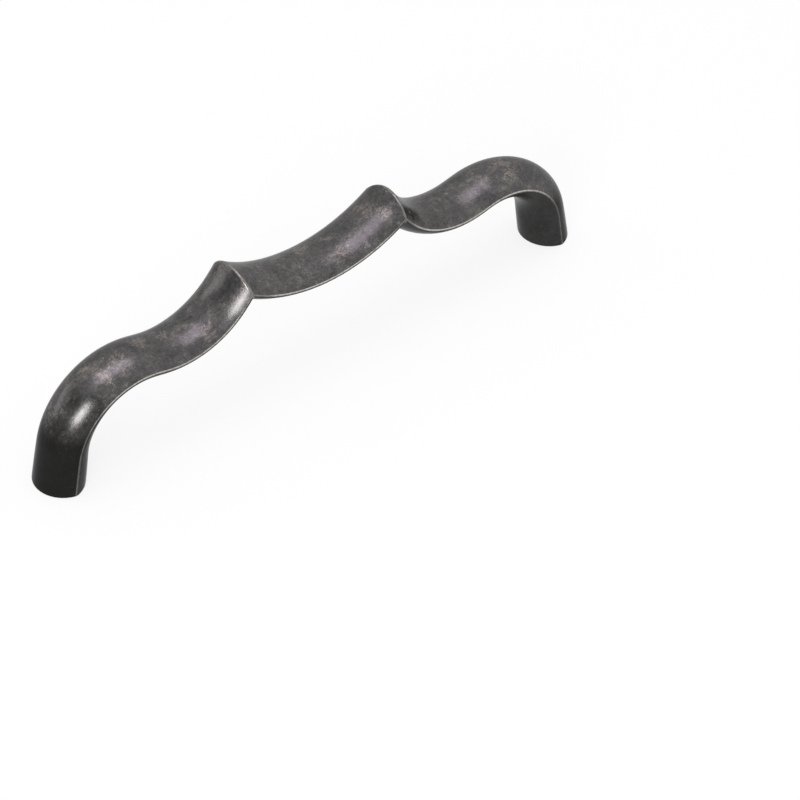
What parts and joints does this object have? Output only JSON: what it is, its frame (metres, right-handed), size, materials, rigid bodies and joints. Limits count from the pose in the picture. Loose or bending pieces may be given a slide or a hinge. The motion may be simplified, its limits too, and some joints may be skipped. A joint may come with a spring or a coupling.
{
  "type": "bar pull",
  "caption": "Scalloped cast bar pull for a drawer or cabinet door, with two cusps along the bar and a blind threaded screw hole in each foot.",
  "frame": {"origin": "on the mounting plane, midway between the two screw holes", "axes": "+X along the pull from one foot to the other, +Y across its width, +Z away from the door, so the pull stands on its two feet"},
  "size_m": [0.1382, 0.013, 0.0329],
  "materials": {
    "cast_metal": "antique dark pewter plating, satin, rubbed paler along the edges"
  },
  "bodies": {
    "root": {"bar_pull": "cast_metal"}
  },
  "joints": []
}
